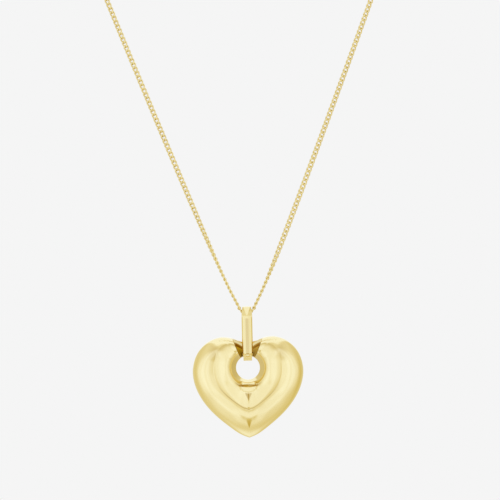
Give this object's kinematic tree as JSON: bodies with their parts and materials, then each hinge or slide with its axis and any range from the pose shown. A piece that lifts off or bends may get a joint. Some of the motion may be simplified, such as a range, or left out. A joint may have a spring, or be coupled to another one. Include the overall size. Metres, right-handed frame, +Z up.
{
  "type": "heart pendant necklace",
  "caption": "Puffed gold heart with a round hole, hanging from a long bail on a fine chain loop with a plain ring clasp.",
  "frame": {"origin": "middle of the clasp's face that lies on the nape, halfway along the back of the loop", "axes": "+Z up; the front of the heart faces -Y; +X to the viewer's right"},
  "size_m": [0.096, 0.0797, 0.1782],
  "materials": {
    "heart_gold": "mirror-polished yellow gold",
    "bail_gold": "mirror-polished yellow gold",
    "chain_gold": "polished yellow gold links",
    "clasp_gold": "polished yellow gold"
  },
  "bodies": {
    "neck_loop": {"chain": "chain_gold", "clasp": "clasp_gold"},
    "bail": {"bail": "bail_gold"},
    "heart": {"heart": "heart_gold"}
  },
  "joints": [
    {"name": "bail_swing", "type": "hinge", "parent": "neck_loop", "child": "bail", "pos_m": [0, -0.075, -0.1498], "axis": [-1, 0, 0], "range_deg": [-90, 90]},
    {"name": "heart_swing", "type": "hinge", "parent": "bail", "child": "heart", "pos_m": [0, -0.075, -0.16089], "axis": [0, 1, 0], "range_deg": [-11, 11]}
  ]
}
